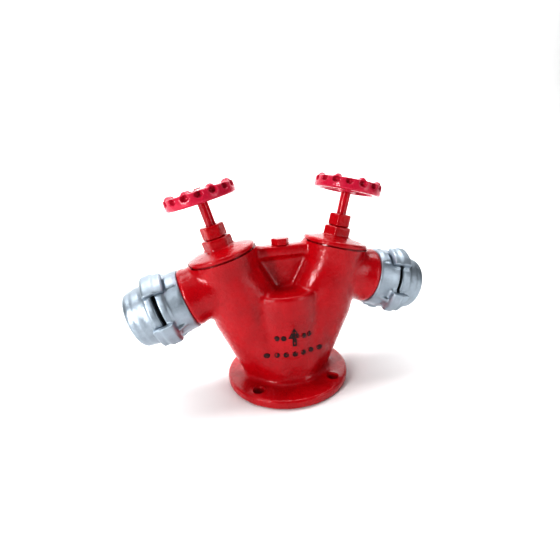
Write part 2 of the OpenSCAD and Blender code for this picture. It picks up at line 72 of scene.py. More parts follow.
# Outline of each outlet's bore
OUTLET_BORE, HOSE_BORE = 0.030, 0.0369
FLARE_START, FLARE_END, STUB_END = 0.056, 0.066, 0.097

# Flange, inlet and tie bar
FLANGE_T, FLANGE_REACH = 0.016, 0.120
INLET_DEPTH, INLET_TOP, INLET_STEP = 0.032, 0.155, 0.001
HOLE_BREAK = 0.0012
PLUG_BORE, PLUG_FOOT, PLUG_TOP = 0.008, 0.2265, 0.2405
RISER_RADIUS = 0.062
OVERCUT = 0.001

# Outlines of the stem's way through the bonnet and the gland nut
BONNET_BORE = [
    (0, -0.040), (0.0102, -0.040), (0.0102, -0.008), (0.0112, -0.008), (0.0112, 0.014),
    (0.0086, 0.014), (0.0086, 0.018), (0.0116, 0.018), (0.0116, 0.040), (0, 0.040),
]
NUT_BORE = [(0, 0.020), (0.0142, 0.020), (0.0142, 0.038), (0.0085, 0.038), (0.0085, 0.050), (0, 0.050)]

# Handwheel rim and its pockets
RIM_RADIUS, RIM_TOP, RIM_INNER = 0.0545, 0.0925, 0.0428
RIM_RAISE, RIM_ROUND = 0.0048, 0.0012
POCKETS = 16
POCKET_SIZE = (0.0060, 0.0085, 0.0044)

# Thickness of the raised marks, half of it sunk in the skin
MARK_DEPTH = 0.0026

# The arrow's height and width, as shares of the mark size
ARROW_TALL, ARROW_WIDE = 1.15, 0.8
# Its bar's width and height, its head's radius and their shift, as shares of the arrow
BAR_WIDE, BAR_TALL, HEAD_RADIUS, ARROW_SHIFT = 0.34, 0.62, 0.6, 0.2
# Places of the dots beside the arrow, and the step between those below it
DOTS_ACROSS = (0.017, 0.028)
DOT_STEP, DOT_SPAN = 0.0145, 3

# Stage: the floor with its sweep up behind, the surround's colour and the camera
FLOOR_SIZE, FLOOR_SHIFT, FLOOR_EDGE = 12.0, -3.0, 5.9
SWEEP_RISE, SWEEP_RADIUS = 8.0, 2.0
SURROUND = (0.97, 0.98, 1.0, 1.0)
CAMERA_PLACE = (-0.11591, -0.50891, 0.33661)
CAMERA_YAW, CAMERA_PITCH, CAMERA_ROLL = -12.41, -16.91, -3.43


def barrel_frame(side):
    """Matrix whose +Z runs up a valve stem, from the bonnet's top."""
    place = Matrix.Translation((side * BARREL_X, 0, BARREL_Z))
    return place @ Matrix.Rotation(side * BARREL_TILT, 4, "Y")


def outlet_frame(side):
    """Matrix whose +Z runs out along an outlet, from the barrel's axis."""
    place = Matrix.Translation((side * OUTLET_X, 0, OUTLET_Z))
    return place @ Matrix.Rotation(side * (math.pi / 2 + OUTLET_DROOP), 4, "Y")


# ---------------------------------------------------------------- modelling


def clear_selection():
    if bpy.context.mode != "OBJECT":
        bpy.ops.object.mode_set(mode="OBJECT")
    bpy.ops.object.select_all(action="DESELECT")


def take(obj):
    """Make obj the only selected object, and the active one."""
    clear_selection()
    obj.hide_set(False)
    obj.select_set(True)
    bpy.context.view_layer.objects.active = obj


def close_up(obj):
    """Merge doubled points and turn every face outwards."""
    take(obj)
    bpy.ops.object.mode_set(mode="EDIT")
    bpy.ops.mesh.select_all(action="SELECT")
    bpy.ops.mesh.remove_doubles(threshold=0.000002)
    bpy.ops.mesh.normals_make_consistent(inside=False)
    bpy.ops.object.mode_set(mode="OBJECT")


def copy_of(node, name):
    """A merged copy of a frame node, to be worked into a finished piece."""
    source = frame["nodes"][node]
    obj = bpy.data.objects.new(name, source.data.copy())
    bpy.context.scene.collection.objects.link(obj)
    obj.data.materials.clear()
    close_up(obj)
    return obj


def turned(name, profile, place, steps=96):
    """A solid of revolution about the +Z of place, from (radius, height) points."""
    mesh = bpy.data.meshes.new(name)
    points = [(r, 0.0, z) for r, z in profile]
    mesh.from_pydata(points, [(i, (i + 1) % len(points)) for i in range(len(points))], [])
    obj = bpy.data.objects.new(name, mesh)
    bpy.context.scene.collection.objects.link(obj)
    take(obj)
    bpy.ops.object.mode_set(mode="EDIT")
    bpy.ops.mesh.select_all(action="SELECT")
    bpy.ops.mesh.spin(steps=steps, angle=2 * math.pi, center=(0, 0, 0), axis=(0, 0, 1))
    bpy.ops.mesh.select_all(action="SELECT")
    bpy.ops.mesh.remove_doubles(threshold=0.000002)
    bpy.ops.mesh.delete_loose()
    bpy.ops.mesh.select_all(action="SELECT")
    bpy.ops.mesh.normals_make_consistent(inside=False)
    bpy.ops.object.mode_set(mode="OBJECT")
    obj.data.transform(place)
    return obj


def join(obj, others):
    """Join the meshes of others into obj."""
    clear_selection()
    for other in others:
        other.select_set(True)
    obj.select_set(True)
    bpy.context.view_layer.objects.active = obj
    bpy.ops.object.join()


def duplicate(obj, name):
    other = bpy.data.objects.new(name, obj.data.copy())
    bpy.context.scene.collection.objects.link(other)
    return other


def apply_modifier(obj, kind, **values):
    take(obj)
    modifier = obj.modifiers.new(kind.title(), kind)
    for key, value in values.items():
        setattr(modifier, key, value)
    bpy.ops.object.modifier_apply(modifier=modifier.name)


def combine(obj, tool, operation):
    """Boolean obj with tool, and remove tool."""
    apply_modifier(obj, "BOOLEAN", object=tool, operation=operation, solver="MANIFOLD")
    bpy.data.objects.remove(tool, do_unlink=True)


def cast_skin(obj, grain):
    """Wrap obj in one even skin, as a pattern maker's solid."""
    apply_modifier(obj, "REMESH", mode="VOXEL", voxel_size=grain, adaptivity=0.0)


def ease(obj, passes, fill=0.5, shave=0.12):
    """Round inside corners by fill and outside corners by shave, as a casting's are."""
    mesh = obj.data
    count = len(mesh.vertices)
    points = np.empty(count * 3)
    mesh.vertices.foreach_get("co", points)
    points = points.reshape(count, 3)
    pairs = np.empty(len(mesh.edges) * 2, dtype=np.int64)
    mesh.edges.foreach_get("vertices", pairs)
    first, second = pairs.reshape(-1, 2).T
    ways = np.bincount(pairs, minlength=count)[:, None]
    normals = np.empty(count * 3)
    for _ in range(passes):
        mesh.vertex_normals.foreach_get("vector", normals)
        total = np.stack(
            [
                np.bincount(first, points[second, k], count) + np.bincount(second, points[first, k], count)
                for k in range(3)
            ],
            axis=1,
        )
        move = total / ways - points
        outward = (move * normals.reshape(count, 3)).sum(axis=1)
        points = points + move * np.where(outward > 0, fill, shave)[:, None]
        mesh.vertices.foreach_set("co", points.ravel())
        mesh.update()


def roughen(obj, depth, size):
    """Sink the skin by up to depth in soft waves, as sand leaves it."""
    waves = bpy.data.textures.new(obj.name + "_waves", "CLOUDS")
    waves.noise_scale = size
    waves.noise_depth = 2
    apply_modifier(obj, "DISPLACE", texture=waves, texture_coords="LOCAL", strength=depth, mid_level=1.0)
    bpy.data.textures.remove(waves)


def crisp(obj, angle=35):
    """Smooth shading that keeps edges sharper than angle."""
    take(obj)
    bpy.ops.object.shade_smooth_by_angle(angle=math.radians(angle))


def settle(obj, node, material):
    """Make obj stand for the frame node, which it hides: its material and body."""
    obj.data.materials.clear()
    obj.data.materials.append(material)
    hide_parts(node)
    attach(obj, BODY_OF[node])


def dress(node, material):
    """Give a carried frame node its finish."""
    mesh = frame["nodes"][node].data
    if not mesh.materials:
        mesh.materials.append(material)
    for i in range(len(mesh.materials)):
        mesh.materials[i] = material


# ---------------------------------------------------------------- finishes


class Recipe:
    """Short way to write a node material."""

    def __init__(self, name):
        self.material = bpy.data.materials.new(name)
        self.material.use_nodes = True
        self.nodes = self.material.node_tree.nodes
        self.links = self.material.node_tree.links
        self.shader = self.nodes["Principled BSDF"]
        self.where = self.nodes.new("ShaderNodeTexCoord")

    def set(self, **values):
        for key, value in values.items():
            self.shader.inputs[key.replace("_", " ")].default_value = value

    def link(self, out, target):
        self.links.new(out, target)

    def noise(self, scale, detail=3.0, rough=0.5, distortion=0.0):
        node = self.nodes.new("ShaderNodeTexNoise")
        node.inputs["Scale"].default_value = scale
        node.inputs["Detail"].default_value = detail
        node.inputs["Roughness"].default_value = rough
        node.inputs["Distortion"].default_value = distortion
        self.link(self.where.outputs["Object"], node.inputs["Vector"])
        return node.outputs["Fac"]

    def cells(self, scale):
        node = self.nodes.new("ShaderNodeTexVoronoi")
        node.inputs["Scale"].default_value = scale
        self.link(self.where.outputs["Object"], node.inputs["Vector"])
        return node.outputs["Distance"]

    def ramp(self, fac, stops):
        node = self.nodes.new("ShaderNodeValToRGB")
        while len(node.color_ramp.elements) < len(stops):
            node.color_ramp.elements.new(0.5)
        for element, (at, color) in zip(node.color_ramp.elements, stops):
            element.position = at
            element.color = (*color, 1.0) if len(color) == 3 else color
        self.link(fac, node.inputs["Fac"])
        return node.outputs["Color"]

    def spread(self, fac, low, high):
        node = self.nodes.new("ShaderNodeMapRange")
        node.inputs["From Min"].default_value = 0.3
        node.inputs["From Max"].default_value = 0.7
        node.inputs["To Min"].default_value = low
        node.inputs["To Max"].default_value = high
        self.link(fac, node.inputs["Value"])
        return node.outputs["Result"]

    def multiply(self, first, second, amount):
        """Darken one colour by another."""
        node = self.nodes.new("ShaderNodeMix")
        node.data_type = "RGBA"
        node.blend_type = "MULTIPLY"
        node.inputs["Factor"].default_value = amount
        self.link(first, node.inputs["A"])
        self.link(second, node.inputs["B"])
        return node.outputs["Result"]

    def bump(self, height, distance, strength=1.0, under=None):
        node = self.nodes.new("ShaderNodeBump")
        node.inputs["Strength"].default_value = strength
        node.inputs["Distance"].default_value = distance
        self.link(height, node.inputs["Height"])
        if under is not None:
            self.link(under, node.inputs["Normal"])
        return node.outputs["Normal"]

    def finish(self, color=None, roughness=None, normal=None):
        if color is not None:
            self.link(color, self.shader.inputs["Base Color"])
        if roughness is not None:
            self.link(roughness, self.shader.inputs["Roughness"])
        if normal is not None:
            self.link(normal, self.shader.inputs["Normal"])
            self.link(normal, self.shader.inputs["Coat Normal"])
        return self.material


def shade(color, factor):
    return tuple(min(1.0, c * factor) for c in color)


def enamel(name, color, grain=0.0005, dirt=0.82):
    """Thick gloss enamel over a sand casting."""
    r = Recipe(name)
    r.set(IOR=1.5, Specular_IOR_Level=0.2, Coat_Weight=0.5, Coat_Roughness=0.07)
    broad = r.noise(22.0, 4.0, 0.6)
    tone = r.ramp(broad, [(0.3, shade(color, dirt)), (0.55, color), (0.75, shade(color, 1.1))])
    specks = r.ramp(r.noise(420.0, 2.0, 0.6), [(0.27, shade(color, 0.55)), (0.36, (1, 1, 1))])
    speckled = r.multiply(tone, specks, 0.35)
    rough = r.spread(r.noise(60.0, 3.0), 0.2, 0.36)
    lumps = r.bump(r.noise(95.0, 3.0, 0.55), 0.0009, 0.4)
    peel = r.bump(r.noise(310.0, 2.0, 0.5), grain, 1.0, lumps)
    pits = r.bump(r.cells(330.0), 0.0002, 0.35, peel)
    return r.finish(speckled, rough, pits)


def marking(name, color, under):
    """Dark paint rolled on raised marks, worn through to the enamel in places."""
    r = Recipe(name)
    r.set(IOR=1.5, Specular_IOR_Level=0.3, Coat_Weight=0.2, Coat_Roughness=0.15)
    worn = r.ramp(r.noise(260.0, 4.0, 0.65), [(0.56, color), (0.64, under)])
    rough = r.spread(r.noise(200.0, 3.0), 0.35, 0.6)
    return r.finish(worn, rough, r.bump(r.noise(400.0, 3.0, 0.6), 0.0003, 0.8))


def cast_aluminium(name, color):
    """Blasted aluminium casting with a dull bloom."""
    r = Recipe(name)
    r.set(Metallic=0.85, IOR=1.45)
    tones = [(0.3, shade(color, 0.78)), (0.5, color), (0.72, shade(color, 1.12))]
    cloud = r.ramp(r.noise(30.0, 5.0, 0.65), tones)
    rough = r.spread(r.noise(70.0, 3.0), 0.34, 0.5)
    lumps = r.bump(r.noise(140.0, 3.0, 0.6), 0.0007, 0.5)
    sand = r.bump(r.noise(1300.0, 2.0, 0.6), 0.00016, 0.7, lumps)
    return r.finish(cloud, rough, sand)


def plated(name, color):
    """Bright zinc plate with faint machining rings."""
    r = Recipe(name)
    r.set(Metallic=0.9)
    tone = r.ramp(r.noise(160.0, 3.0), [(0.3, shade(color, 0.86)), (0.7, shade(color, 1.08))])
    rough = r.spread(r.noise(300.0, 2.0), 0.22, 0.4)
    return r.finish(tone, rough, r.bump(r.noise(900.0, 2.0), 0.0001, 0.5))


def bronze(name, color):
    """Machined bronze, dulled by water."""
    r = Recipe(name)
    r.set(Metallic=0.95)
    tone = r.ramp(r.noise(80.0, 4.0), [(0.3, shade(color, 0.6)), (0.55, color), (0.8, shade(color, 1.15))])
    rough = r.spread(r.noise(240.0, 3.0), 0.25, 0.48)
    return r.finish(tone, rough, r.bump(r.noise(700.0, 2.0), 0.0001, 0.5))


def rubber(name, color):
    """Matt black rubber with a dusty bloom."""
    r = Recipe(name)
    tone = r.ramp(r.noise(120.0, 4.0), [(0.35, color), (0.8, tuple(c + 0.02 for c in color))])
    rough = r.spread(r.noise(200.0, 2.0), 0.55, 0.8)
    return r.finish(tone, rough, r.bump(r.noise(1500.0, 2.0), 0.00008, 0.6))


def fibre(name, color):
    """Plaited packing fibre, greased with graphite."""
    r = Recipe(name)
    tone = r.ramp(r.cells(600.0), [(0.1, shade(color, 0.5)), (0.6, shade(color, 1.3))])
    rough = r.spread(r.noise(300.0, 2.0), 0.6, 0.9)
    return r.finish(tone, rough, r.bump(r.cells(600.0), 0.0003, 0.8))


FINISHES = {}


def finish_for(slot):
    """The material of a record slot, made once."""
    if slot not in FINISHES:
        colors = bpy.context.scene.hydrant_finishes
        # The gasket is painted over in the casting's red; darkening it to 0.7 is painted shade for the
        # groove between bonnet and collar
        gasket_red_painted_shade = shade(colors.casting_red, 0.7)
        makers = {
            "red_enamel": lambda: enamel("Red Enamel", tuple(colors.casting_red)),
            "wheel_enamel": lambda: enamel("Wheel Enamel", tuple(colors.wheel_red), 0.0002, 0.88),
            "stem_paint": lambda: enamel("Stem Paint", tuple(colors.stem_red), 0.0001, 0.7),
            "cast_aluminium": lambda: cast_aluminium("Cast Aluminium", tuple(colors.aluminium)),
            "zinc": lambda: plated("Zinc Plate", tuple(colors.zinc)),
            "bronze": lambda: bronze("Bronze", tuple(colors.bronze)),
            "black_rubber": lambda: rubber("Black Rubber", tuple(colors.rubber)),
            # Gasket enamel: the casting's red with painted shade of the groove between bonnet and collar
            "painted_gasket": lambda: enamel("Painted Gasket", gasket_red_painted_shade, 0.0002, 0.6),
            "packing_fibre": lambda: fibre("Packing Fibre", tuple(colors.fibre)),
            "marking": lambda: marking("Marking Paint", tuple(colors.marking), tuple(colors.casting_red)),
        }
        FINISHES[slot] = makers[slot]()
    return FINISHES[slot]


# ---------------------------------------------------------------- settings


def tint(name, description, default):
    return FloatVectorProperty(
        name=name, description=description, default=default, subtype="COLOR", size=3, min=0.0, max=1.0
    )


def length(name, description, default):
    return FloatProperty(
        name=name, description=description, default=default, subtype="DISTANCE", unit="LENGTH"
    )


def rounding(name, description, default):
    return IntProperty(name=name, description=description, default=default, min=0)


class HydrantCasting(bpy.types.PropertyGroup):
    grain: length("Skin Spacing", "Spacing of points on the big casting's skin", 0.002)
    small_grain: length("Small Skin Spacing", "Spacing of points on the smaller castings", 0.0009)
    nut_grain: length("Nut Skin Spacing", "Spacing of points on the nuts and the plug", 0.0006)
    blend_passes: rounding("Casting Rounding", "Rounding passes on the big casting", 45)
    bonnet_passes: rounding("Bonnet Rounding", "Rounding passes on the bonnets", 26)
    nut_passes: rounding("Nut Rounding", "Rounding passes on the gland nuts", 40)
    plug_passes: rounding("Plug Rounding", "Rounding passes on the tie bar's plug", 10)
    wheel_passes: rounding("Wheel Rounding", "Rounding passes on the handwheels", 8)
    claw_passes: rounding("Claw Rounding", "Rounding passes on the couplings and caps", 22)
    wave_depth: length("Wave Depth", "Depth of the sand mould's soft unevenness", 0.0004)
    bolt_hole: length("Bolt Hole", "Radius of the flange's bolt holes", 0.009)
    bolt_circle: length("Bolt Circle", "Radius of the circle through the bolt holes", 0.090)
    dot_radius: length("Dot Radius", "Radius of the raised dots", 0.0042)
    mark_size: length("Mark Size", "Height of the raised flow arrow", 0.024)
    arrow_height: length("Arrow Height", "Height of the flow arrow above the flange's face", 0.099)
    dot_height: length("Dot Height", "Height of the row of dots above the flange's face", 0.070)
    inlet_bore: length("Inlet Bore", "Radius of the inlet bore", 0.050)


class HydrantFinishes(bpy.types.PropertyGroup):
    casting_red: tint("Casting Red", "Enamel on the casting and bonnets", (0.44, 0.002, 0.010))
    wheel_red: tint("Wheel Red", "Enamel on the handwheels", (0.55, 0.020, 0.065))
    stem_red: tint("Stem Red", "Paint on the stems", (0.46, 0.005, 0.020))
    aluminium: tint("Aluminium", "Cast aluminium of the couplings and caps", (0.37, 0.425, 0.48))
    marking: tint("Marking Paint", "Dark paint on the raised marks", (0.022, 0.004, 0.005))
    zinc: tint("Zinc", "Plating of the handwheel nuts", (0.82, 0.83, 0.84))
    bronze: tint("Bronze", "Bronze of the seats, discs and bushes", (0.68, 0.46, 0.20))
    rubber: tint("Rubber", "Seals and gaskets", (0.012, 0.012, 0.013))
    fibre: tint("Packing", "Packing fibre", (0.10, 0.095, 0.085))


def light_power(name, description, default):
    return FloatProperty(name=name, description=description, default=default, unit="POWER")


class HydrantStage(bpy.types.PropertyGroup):
    floor_color: tint("Floor", "Colour of the floor", (0.86, 0.86, 0.86))
    key_power: light_power("Key Light", "Power of the tall light at the left", 9.5)
    top_power: light_power("Top Light", "Power of the light overhead", 3.6)
    fill_power: light_power("Fill Light", "Power of the soft light at the right", 4.0)
    backdrop_power: light_power("Backdrop Light", "Power of the light on the backdrop", 240.0)
    world_strength: FloatProperty(name="Surround", description="Light given by the surround", default=0.07)
    world_view: FloatProperty(name="Surround Seen", description="Brightness of the surround", default=0.9)
    lens: FloatProperty(name="Lens", description="Focal length in millimetres", default=20.617)


# ---------------------------------------------------------------- pieces


def valve_void(side):
    """The water passage, seat pocket, chamber and machined mouth of one barrel."""
    profile = [
        (0, PASSAGE_END), (SEAT_BORE, PASSAGE_END), (SEAT_BORE, SEAT_FOOT),
        (SEAT_POCKET, SEAT_FOOT), (SEAT_POCKET, SEAT_TOP), (CHAMBER, SEAT_TOP),
        (CHAMBER, THREAD_END), (THREAD, THREAD_END), (THREAD, MOUTH_FACE),
        (MOUTH, MOUTH_FACE), (MOUTH, MOUTH_CLEAR), (0, MOUTH_CLEAR),
    ]
    return turned("Valve Void", profile, barrel_frame(side))


def outlet_void(side):
    """The bore of one outlet stub."""
    profile = [
        (0, 0), (OUTLET_BORE, 0), (OUTLET_BORE, FLARE_START),
        (HOSE_BORE, FLARE_END), (HOSE_BORE, STUB_END), (0, STUB_END),
    ]
    return turned("Outlet Void", profile, outlet_frame(side))


def inlet_void(r):
    """The inlet bore, with its small step."""
    inner = r - INLET_STEP
    profile = [
        (0, -OVERCUT), (r, -OVERCUT), (r, INLET_DEPTH),
        (inner, INLET_DEPTH), (inner, INLET_TOP), (0, INLET_TOP),
    ]
    return turned("Inlet Void", profile, Matrix())


def bolt_void(r, place):
    """A bolt hole with both its edges broken."""
    wide, foot, top = r + HOLE_BREAK, -2 * OVERCUT, FLANGE_T + 3 * OVERCUT
    profile = [
        (0, foot), (r + 0.0008, foot), (r + 0.0008, 0.0004), (r, HOLE_BREAK),
        (r, FLANGE_T - HOLE_BREAK), (wide, FLANGE_T + 0.0002), (wide, top), (0, top),
    ]
    return turned("Bolt Hole", profile, place, 48)


def casting_voids(sizes):
    """Every bore and hole that is cut in the casting."""
    voids = [valve_void(side) for side in (-1, 1)] + [outlet_void(side) for side in (-1, 1)]
    voids.append(inlet_void(sizes.inlet_bore))
    bar_hole = [(0, PLUG_FOOT), (PLUG_BORE, PLUG_FOOT), (PLUG_BORE, PLUG_TOP), (0, PLUG_TOP)]
    voids.append(turned("Plug Hole", bar_hole, Matrix(), 48))
    for i in range(4):
        angle = math.radians(45 + 90 * i)
        spot = Vector((math.cos(angle), math.sin(angle), 0)) * sizes.bolt_circle
        voids.append(bolt_void(sizes.bolt_hole, Matrix.Translation(spot)))
    return voids


class HYDRANT_OT_casting(bpy.types.Operator):
    """Make the red casting: flange, riser, barrels, stubs and tie bar in one smooth skin"""

    bl_idname = "hydrant.casting"
    bl_label = "Casting"

    def execute(self, context):
        sizes = context.scene.hydrant_casting
        casting = copy_of("body", "Casting")
        voids = casting_voids(sizes)
        fillers = [duplicate(v, "Filler") for v in voids]
        join(casting, fillers)
        cast_skin(casting, sizes.grain)
        ease(casting, sizes.blend_passes)
        roughen(casting, sizes.wave_depth, 0.03)
        under = [(0, -0.020), (FLANGE_REACH, -0.020), (FLANGE_REACH, 0), (0, 0)]
        voids.append(turned("Under Cut", under, Matrix(), 64))
        for void in voids:
            combine(casting, void, "DIFFERENCE")
        crisp(casting, 40)
        settle(casting, "body", finish_for("red_enamel"))
        return {"FINISHED"}


def raised_dot(size, across, height):
    """A round mark, facing -Y, with its rim rounded."""
    bpy.ops.mesh.primitive_cylinder_add(
        vertices=32, radius=size, depth=MARK_DEPTH,
        location=(across, 0, height), rotation=(math.pi / 2, 0, 0),
    )
    return finish_mark(bpy.context.object)


def raised_arrow(tall, wide, height):
    """An upright arrow, facing -Y: a bar and a three-sided head."""
    bpy.ops.mesh.primitive_cube_add(size=1.0, location=(0, 0, height - tall * ARROW_SHIFT))
    bar = bpy.context.object
    bar.scale = (wide * BAR_WIDE, MARK_DEPTH, tall * BAR_TALL)
    bpy.ops.object.transform_apply(location=True, rotation=True, scale=True)
    bpy.ops.mesh.primitive_cylinder_add(
        vertices=3, radius=wide * HEAD_RADIUS, depth=MARK_DEPTH,
        location=(0, 0, height + tall * ARROW_SHIFT), rotation=(math.pi / 2, 0, 0),
    )
    head = bpy.context.object
    bpy.ops.object.transform_apply(location=True, rotation=True, scale=True)
    top = max(v.co.z for v in head.data.vertices)
    if sum(abs(v.co.z - top) < 1e-6 for v in head.data.vertices) > 2:
        lifted = Matrix.Translation((0, 0, 2 * (height + tall * ARROW_SHIFT)))
        head.data.transform(lifted @ Matrix.Scale(-1, 4, (0, 0, 1)))
        close_up(head)
    combine(bar, head, "UNION")
    return finish_mark(bar)


def finish_mark(obj):
    """Round a mark's edges, and give it points enough to bend."""
    take(obj)
    bpy.ops.object.transform_apply(location=True, rotation=True, scale=True)
    apply_modifier(obj, "BEVEL", width=0.0005, segments=3, limit_method="ANGLE")
    apply_modifier(obj, "TRIANGULATE")
    take(obj)
    bpy.ops.object.mode_set(mode="EDIT")
    bpy.ops.mesh.select_all(action="SELECT")
    bpy.ops.mesh.subdivide(number_cuts=2)
    bpy.ops.object.mode_set(mode="OBJECT")
    return obj


def wrap_on(obj, target, radius):
    """Bend a mark that faces -Y round the +Z axis, onto the skin of target."""
    bpy.context.view_layer.update()
    for vertex in obj.data.vertices:
        turn = vertex.co.x / radius
        out = Vector((math.sin(turn), -math.cos(turn), 0))
        hit, spot, _, _ = target.ray_cast(out * 0.2 + Vector((0, 0, vertex.co.z)), -out)
        if not hit:
            raise RuntimeError("mark falls off the casting")
        vertex.co = spot - out * vertex.co.y
    obj.data.update()


class HYDRANT_OT_marks(bpy.types.Operator):
    """Make the raised flow arrow and dots on the riser's front"""

    bl_idname = "hydrant.marks"
    bl_label = "Flow Marks"

    def execute(self, context):
        sizes = context.scene.hydrant_casting
        clear_selection()
        r = sizes.dot_radius
        tall, wide = sizes.mark_size * ARROW_TALL, sizes.mark_size * ARROW_WIDE
        marks = raised_arrow(tall, wide, sizes.arrow_height)
        others = [raised_dot(r, side * x, sizes.arrow_height) for side in (-1, 1) for x in DOTS_ACROSS]
        others += [raised_dot(r, DOT_STEP * i, sizes.dot_height) for i in range(-DOT_SPAN, DOT_SPAN + 1)]
        join(marks, others)
        marks.name = "Flow_Marks"
        wrap_on(marks, bpy.data.objects["Casting"], RISER_RADIUS)
        crisp(marks)
        marks.data.materials.clear()
        marks.data.materials.append(finish_for("marking"))
        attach(marks, BODY_OF["body"])
        return {"FINISHED"}


def soft_casting(node, name, grain, passes, shave):
    """A frame node worked into a soft-edged casting."""
    obj = copy_of(node, name)
    cast_skin(obj, grain)
    ease(obj, passes, shave=shave)
    return obj


class HYDRANT_OT_bonnets(bpy.types.Operator):
    """Make the bonnets and gland nuts, with rounded hexagons and clear stem bores"""

    bl_idname = "hydrant.bonnets"
    bl_label = "Bonnets"

    def execute(self, context):
        sizes = context.scene.hydrant_casting
        for word, side in SIDES.items():
            bonnet = soft_casting(
                word + "_bonnet", word.title() + "_Bonnet", sizes.small_grain, sizes.bonnet_passes, 0.3
            )
            bore = turned("Stem Bore", BONNET_BORE, barrel_frame(side), 64)
            combine(bonnet, bore, "DIFFERENCE")
            crisp(bonnet)
            settle(bonnet, word + "_bonnet", finish_for("red_enamel"))
            nut = soft_casting(
                word + "_gland_nut", word.title() + "_Gland_Nut", sizes.nut_grain, sizes.nut_passes, 0.35
            )
            hole = turned("Nut Hole", NUT_BORE, barrel_frame(side), 64)
            combine(nut, hole, "DIFFERENCE")
            crisp(nut)
            settle(nut, word + "_gland_nut", finish_for("red_enamel"))
        plug = soft_casting("bar_plug", "Bar_Plug", sizes.nut_grain, sizes.plug_passes, 0.25)
        crisp(plug)
        settle(plug, "bar_plug", finish_for("red_enamel"))
        return {"FINISHED"}


def finger_well(side, angle):
    """A smooth pocket sunk in the outer face of a handwheel's rim."""
    bpy.ops.mesh.primitive_uv_sphere_add(segments=32, ring_count=16, radius=1.0, location=(0, 0, 0))
    well = bpy.context.object
    sized = Matrix.Diagonal((*POCKET_SIZE, 1.0))
    spot = Matrix.Rotation(angle, 4, "Z") @ Matrix.Translation((0, RIM_RADIUS, RIM_TOP + 0.0002))
    well.data.transform(barrel_frame(side) @ spot @ sized)
    return well


class HYDRANT_OT_handwheels(bpy.types.Operator):
    """Make the cast handwheels, with grip knobs on the rim and pockets round its outside"""

    bl_idname = "hydrant.handwheels"
    bl_label = "Handwheels"

    def execute(self, context):
        sizes = context.scene.hydrant_casting
        outer = RIM_RADIUS - 0.0004
        raised = [
            (RIM_INNER, -0.004), (outer, -0.004), (outer, 0.0034), (outer - 0.0013, RIM_RAISE),
            (RIM_INNER + RIM_ROUND, RIM_RAISE), (RIM_INNER, RIM_RAISE - RIM_ROUND),
        ]
        for word, side in SIDES.items():
            wheel = copy_of(word + "_handwheel", word.title() + "_Handwheel")
            rim_top = barrel_frame(side) @ Matrix.Translation((0, 0, RIM_TOP))
            join(wheel, [turned("Raised Rim", raised, rim_top)])
            cast_skin(wheel, sizes.small_grain)
            for i in range(POCKETS):
                combine(wheel, finger_well(side, 2 * math.pi / POCKETS * i), "DIFFERENCE")
            cast_skin(wheel, sizes.small_grain)
            ease(wheel, sizes.wheel_passes, shave=0.3)
            crisp(wheel)
            settle(wheel, word + "_handwheel", finish_for("wheel_enamel"))
        return {"FINISHED"}


class HYDRANT_OT_couplings(bpy.types.Operator):
    """Make the claw coupling heads on the stubs"""

    bl_idname = "hydrant.couplings"
    bl_label = "Couplings"

    def execute(self, context):
        sizes = context.scene.hydrant_casting
        for word in SIDES:
            head = soft_casting(
                word + "_outlet_coupling", word.title() + "_Coupling",
                sizes.small_grain, sizes.claw_passes, 0.4,
            )
            crisp(head)
            settle(head, word + "_outlet_coupling", finish_for("cast_aluminium"))
        return {"FINISHED"}


class HYDRANT_OT_caps(bpy.types.Operator):
    """Make the twist-off blank caps"""

    bl_idname = "hydrant.caps"
    bl_label = "Blank Caps"

    def execute(self, context):
        sizes = context.scene.hydrant_casting
        for word in SIDES:
            cap = soft_casting(
                word + "_blank_cap", word.title() + "_Cap", sizes.small_grain, sizes.claw_passes, 0.4
            )
            crisp(cap)
            settle(cap, word + "_blank_cap", finish_for("cast_aluminium"))
        return {"FINISHED"}


class HYDRANT_OT_fittings(bpy.types.Operator):
    """Finish the stems, nuts, seats, discs, seals and packing"""

    bl_idname = "hydrant.fittings"
    bl_label = "Fittings"

    def execute(self, context):
        carried = (
            "seat_ring", "seal_disc", "disc_holder", "seal_nut", "stem_retainer", "stem", "bonnet_gasket",
            "packing", "gland_bush", "wheel_nut", "thread_seal", "coupling_seal", "cap_seal",
        )
        for word in SIDES:
            for part in carried:
                node = word + "_" + part
                dress(node, finish_for(SLOTS[node]))
        return {"FINISHED"}


# ---------------------------------------------------------------- stage


def area_light(name, place, aim, size, power, color=(1, 1, 1)):
    bpy.ops.object.light_add(type="AREA", location=place)
    light = bpy.context.object
    light.name = name
    light.data.shape = "RECTANGLE"
    light.data.size, light.data.size_y = size
    light.data.energy = power
    light.data.color = color
    light.rotation_euler = (Vector(aim) - Vector(place)).to_track_quat("-Z", "Y").to_euler()
    return light


